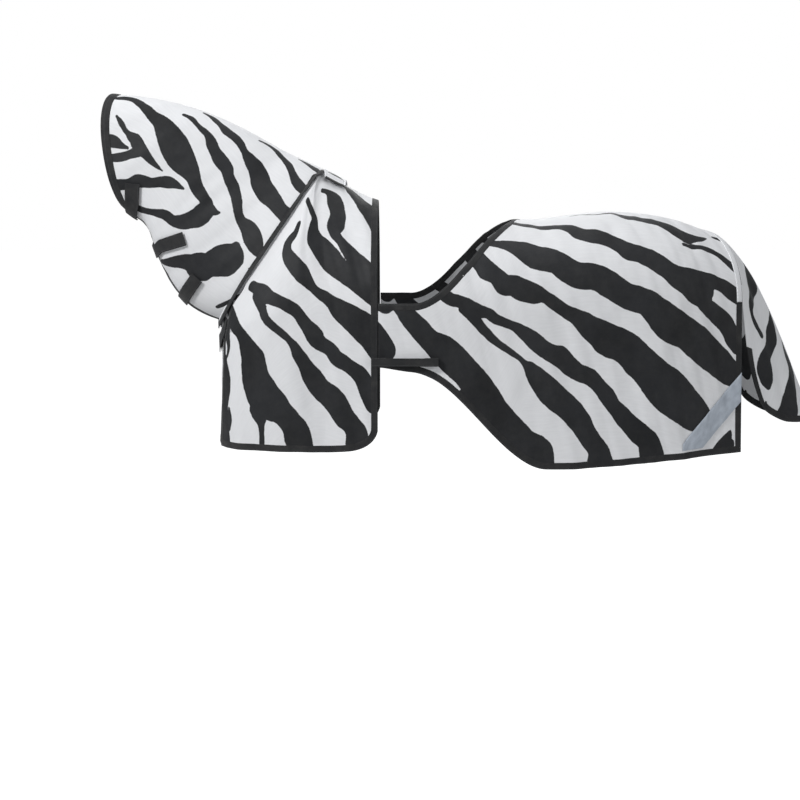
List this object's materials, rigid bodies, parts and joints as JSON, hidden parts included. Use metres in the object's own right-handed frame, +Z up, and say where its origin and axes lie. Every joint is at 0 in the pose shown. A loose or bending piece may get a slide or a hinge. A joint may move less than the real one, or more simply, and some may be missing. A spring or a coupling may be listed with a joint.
{
  "type": "fly sheet",
  "caption": "Zebra-print riding fly sheet with detachable neck cover, saddle opening, girth straps and tail flap.",
  "frame": {"origin": "at the horse's withers, on the sheet's top line", "axes": "+X towards the tail, +Y to the horse's right, +Z up"},
  "size_m": [2.2517, 0.644, 1.1483],
  "materials": {
    "zebra_cloth": "fine woven mesh, printed black on white, slight sheen",
    "edge_binding": "woven polyester binding tape",
    "hook_and_loop": "matt hook-and-loop pile",
    "white_tape": "woven tape",
    "reflective_tape": "retroreflective silver",
    "webbing": "ribbed webbing"
  },
  "bodies": {
    "sheet_body": {"shoulder_panel_left": "zebra_cloth", "shoulder_panel_right": "zebra_cloth", "front_binding_left": "edge_binding", "front_binding_right": "edge_binding", "neckline_loop_tape_left": "white_tape", "neckline_loop_tape_right": "white_tape", "chest_loop_patch": "hook_and_loop", "quarter_panel_left": "zebra_cloth", "quarter_panel_right": "zebra_cloth", "quarter_binding_left": "edge_binding", "quarter_binding_right": "edge_binding", "tail_seam_band_left": "zebra_cloth", "tail_seam_band_right": "zebra_cloth", "opening_binding_left": "edge_binding", "opening_binding_right": "edge_binding", "reflective_strip_left": "reflective_tape", "reflective_strip_right": "reflective_tape", "spine_seam_tape": "white_tape", "tail_dome": "zebra_cloth", "girth_strap_loop_pad_left": "hook_and_loop", "girth_strap_loop_pad_right": "hook_and_loop", "girth_strap_base_left": "webbing", "girth_strap_base_right": "webbing"},
    "chest_flap": {"chest_flap": "zebra_cloth", "chest_flap_binding": "edge_binding"},
    "chest_tab": {"chest_tab": "hook_and_loop"},
    "tail_flap": {"tail_flap": "zebra_cloth", "tail_flap_binding": "edge_binding"},
    "girth_strap_left": {"girth_strap_left": "webbing"},
    "girth_strap_right": {"girth_strap_right": "webbing"},
    "neck_cover": {"neck_panel_left": "zebra_cloth", "neck_panel_right": "zebra_cloth", "neck_binding_left": "edge_binding", "neck_binding_right": "edge_binding", "crest_seam_tape": "white_tape", "jaw_loop_patch": "hook_and_loop", "upper_throat_loop_patch": "hook_and_loop", "lower_throat_loop_patch": "hook_and_loop"},
    "jaw_tab": {"jaw_tab": "hook_and_loop"},
    "upper_throat_tab": {"upper_throat_tab": "hook_and_loop"},
    "lower_throat_tab": {"lower_throat_tab": "hook_and_loop"},
    "withers_tab": {"withers_tab": "zebra_cloth"}
  },
  "joints": [
    {"name": "tail_flap_lift", "type": "hinge", "parent": "sheet_body", "child": "tail_flap", "pos_m": [1.335, 0, -0.392], "axis": [0, -1, 0], "range_deg": [0, 80]},
    {"name": "chest_flap_open", "type": "hinge", "parent": "sheet_body", "child": "chest_flap", "pos_m": [-0.25865, -0.23315, -0.46632], "axis": [0, 0, 1], "range_deg": [0, 100]},
    {"name": "chest_tab_peel", "type": "hinge", "parent": "chest_flap", "child": "chest_tab", "pos_m": [-0.334, -0.14379, -0.44985], "axis": [0, 0, 1], "range_deg": [0, 115]},
    {"name": "girth_strap_left_open", "type": "hinge", "parent": "sheet_body", "child": "girth_strap_left", "pos_m": [0.327, -0.31999, -0.5505], "axis": [0, 0, 1], "range_deg": [0, 120]},
    {"name": "girth_strap_right_open", "type": "hinge", "parent": "sheet_body", "child": "girth_strap_right", "pos_m": [0.327, 0.31999, -0.5505], "axis": [0, 0, -1], "range_deg": [0, 120]},
    {"name": "neck_cover_off", "type": "slide", "parent": "sheet_body", "child": "neck_cover", "axis": [-0.8601, 0, 0.5101], "range_m": [0, 0.35]},
    {"name": "jaw_tab_peel", "type": "hinge", "parent": "neck_cover", "child": "jaw_tab", "pos_m": [-0.63675, 0, -0.1152], "axis": [0.7844, 0, -0.6203], "range_deg": [0, 110]},
    {"name": "upper_throat_tab_peel", "type": "hinge", "parent": "neck_cover", "child": "upper_throat_tab", "pos_m": [-0.57023, 0, -0.21445], "axis": [0.2529, 0, -0.9675], "range_deg": [0, 110]},
    {"name": "lower_throat_tab_peel", "type": "hinge", "parent": "neck_cover", "child": "lower_throat_tab", "pos_m": [-0.48533, 0, -0.38203], "axis": [0.6744, 0, -0.7384], "range_deg": [0, 110]},
    {"name": "withers_tab_lift", "type": "hinge", "parent": "neck_cover", "child": "withers_tab", "pos_m": [-0.02653, 0, 0.03677], "axis": [0, -1, 0], "range_deg": [0, 105]}
  ]
}
